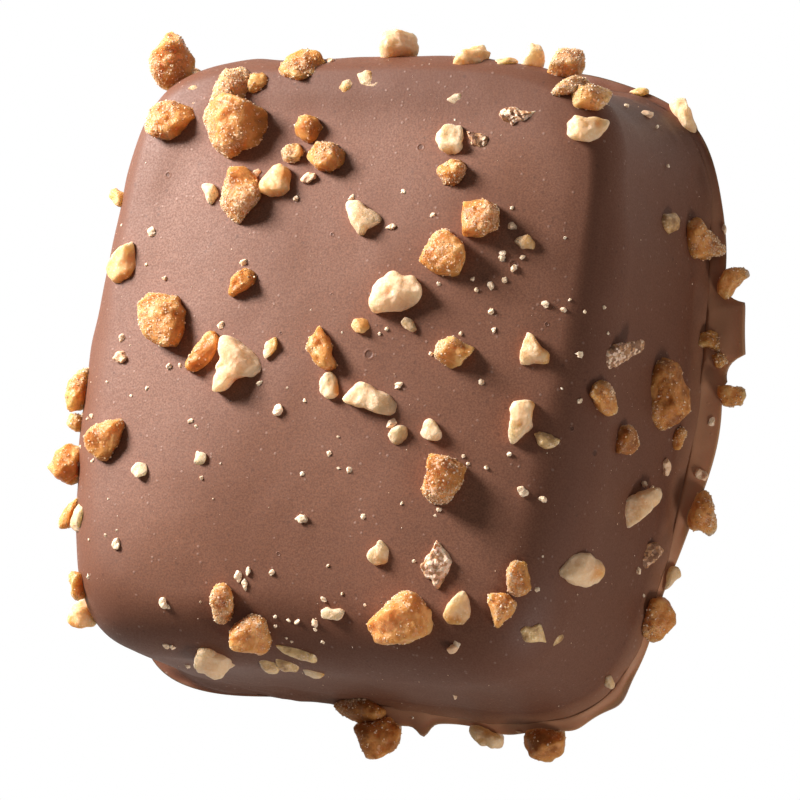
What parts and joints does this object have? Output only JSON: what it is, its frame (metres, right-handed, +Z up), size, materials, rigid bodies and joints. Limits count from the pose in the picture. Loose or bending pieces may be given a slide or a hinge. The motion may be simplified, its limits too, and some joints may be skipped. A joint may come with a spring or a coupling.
{
  "type": "chocolate praline",
  "caption": "Soft square milk chocolate praline with rounded shoulders on a thin run-out foot, strewn with caramel brittle and chopped nut bits.",
  "frame": {"origin": "middle of the flat underside, on the surface that the praline rests on", "axes": "+Z up through the top face; +Y along the longer side; +X towards the side that the picture shows with the torn foot"},
  "size_m": [0.0326, 0.036, 0.0153],
  "materials": {
    "milk_chocolate": "satin milk chocolate with a soft sheen, fine pits and crumbs",
    "caramel_brittle": "amber caramel chips with a sugary frosted surface",
    "chopped_nut": "ivory nut chips with toasted tan edges, matt"
  },
  "bodies": {
    "root": {"praline": "milk_chocolate"}
  },
  "joints": []
}
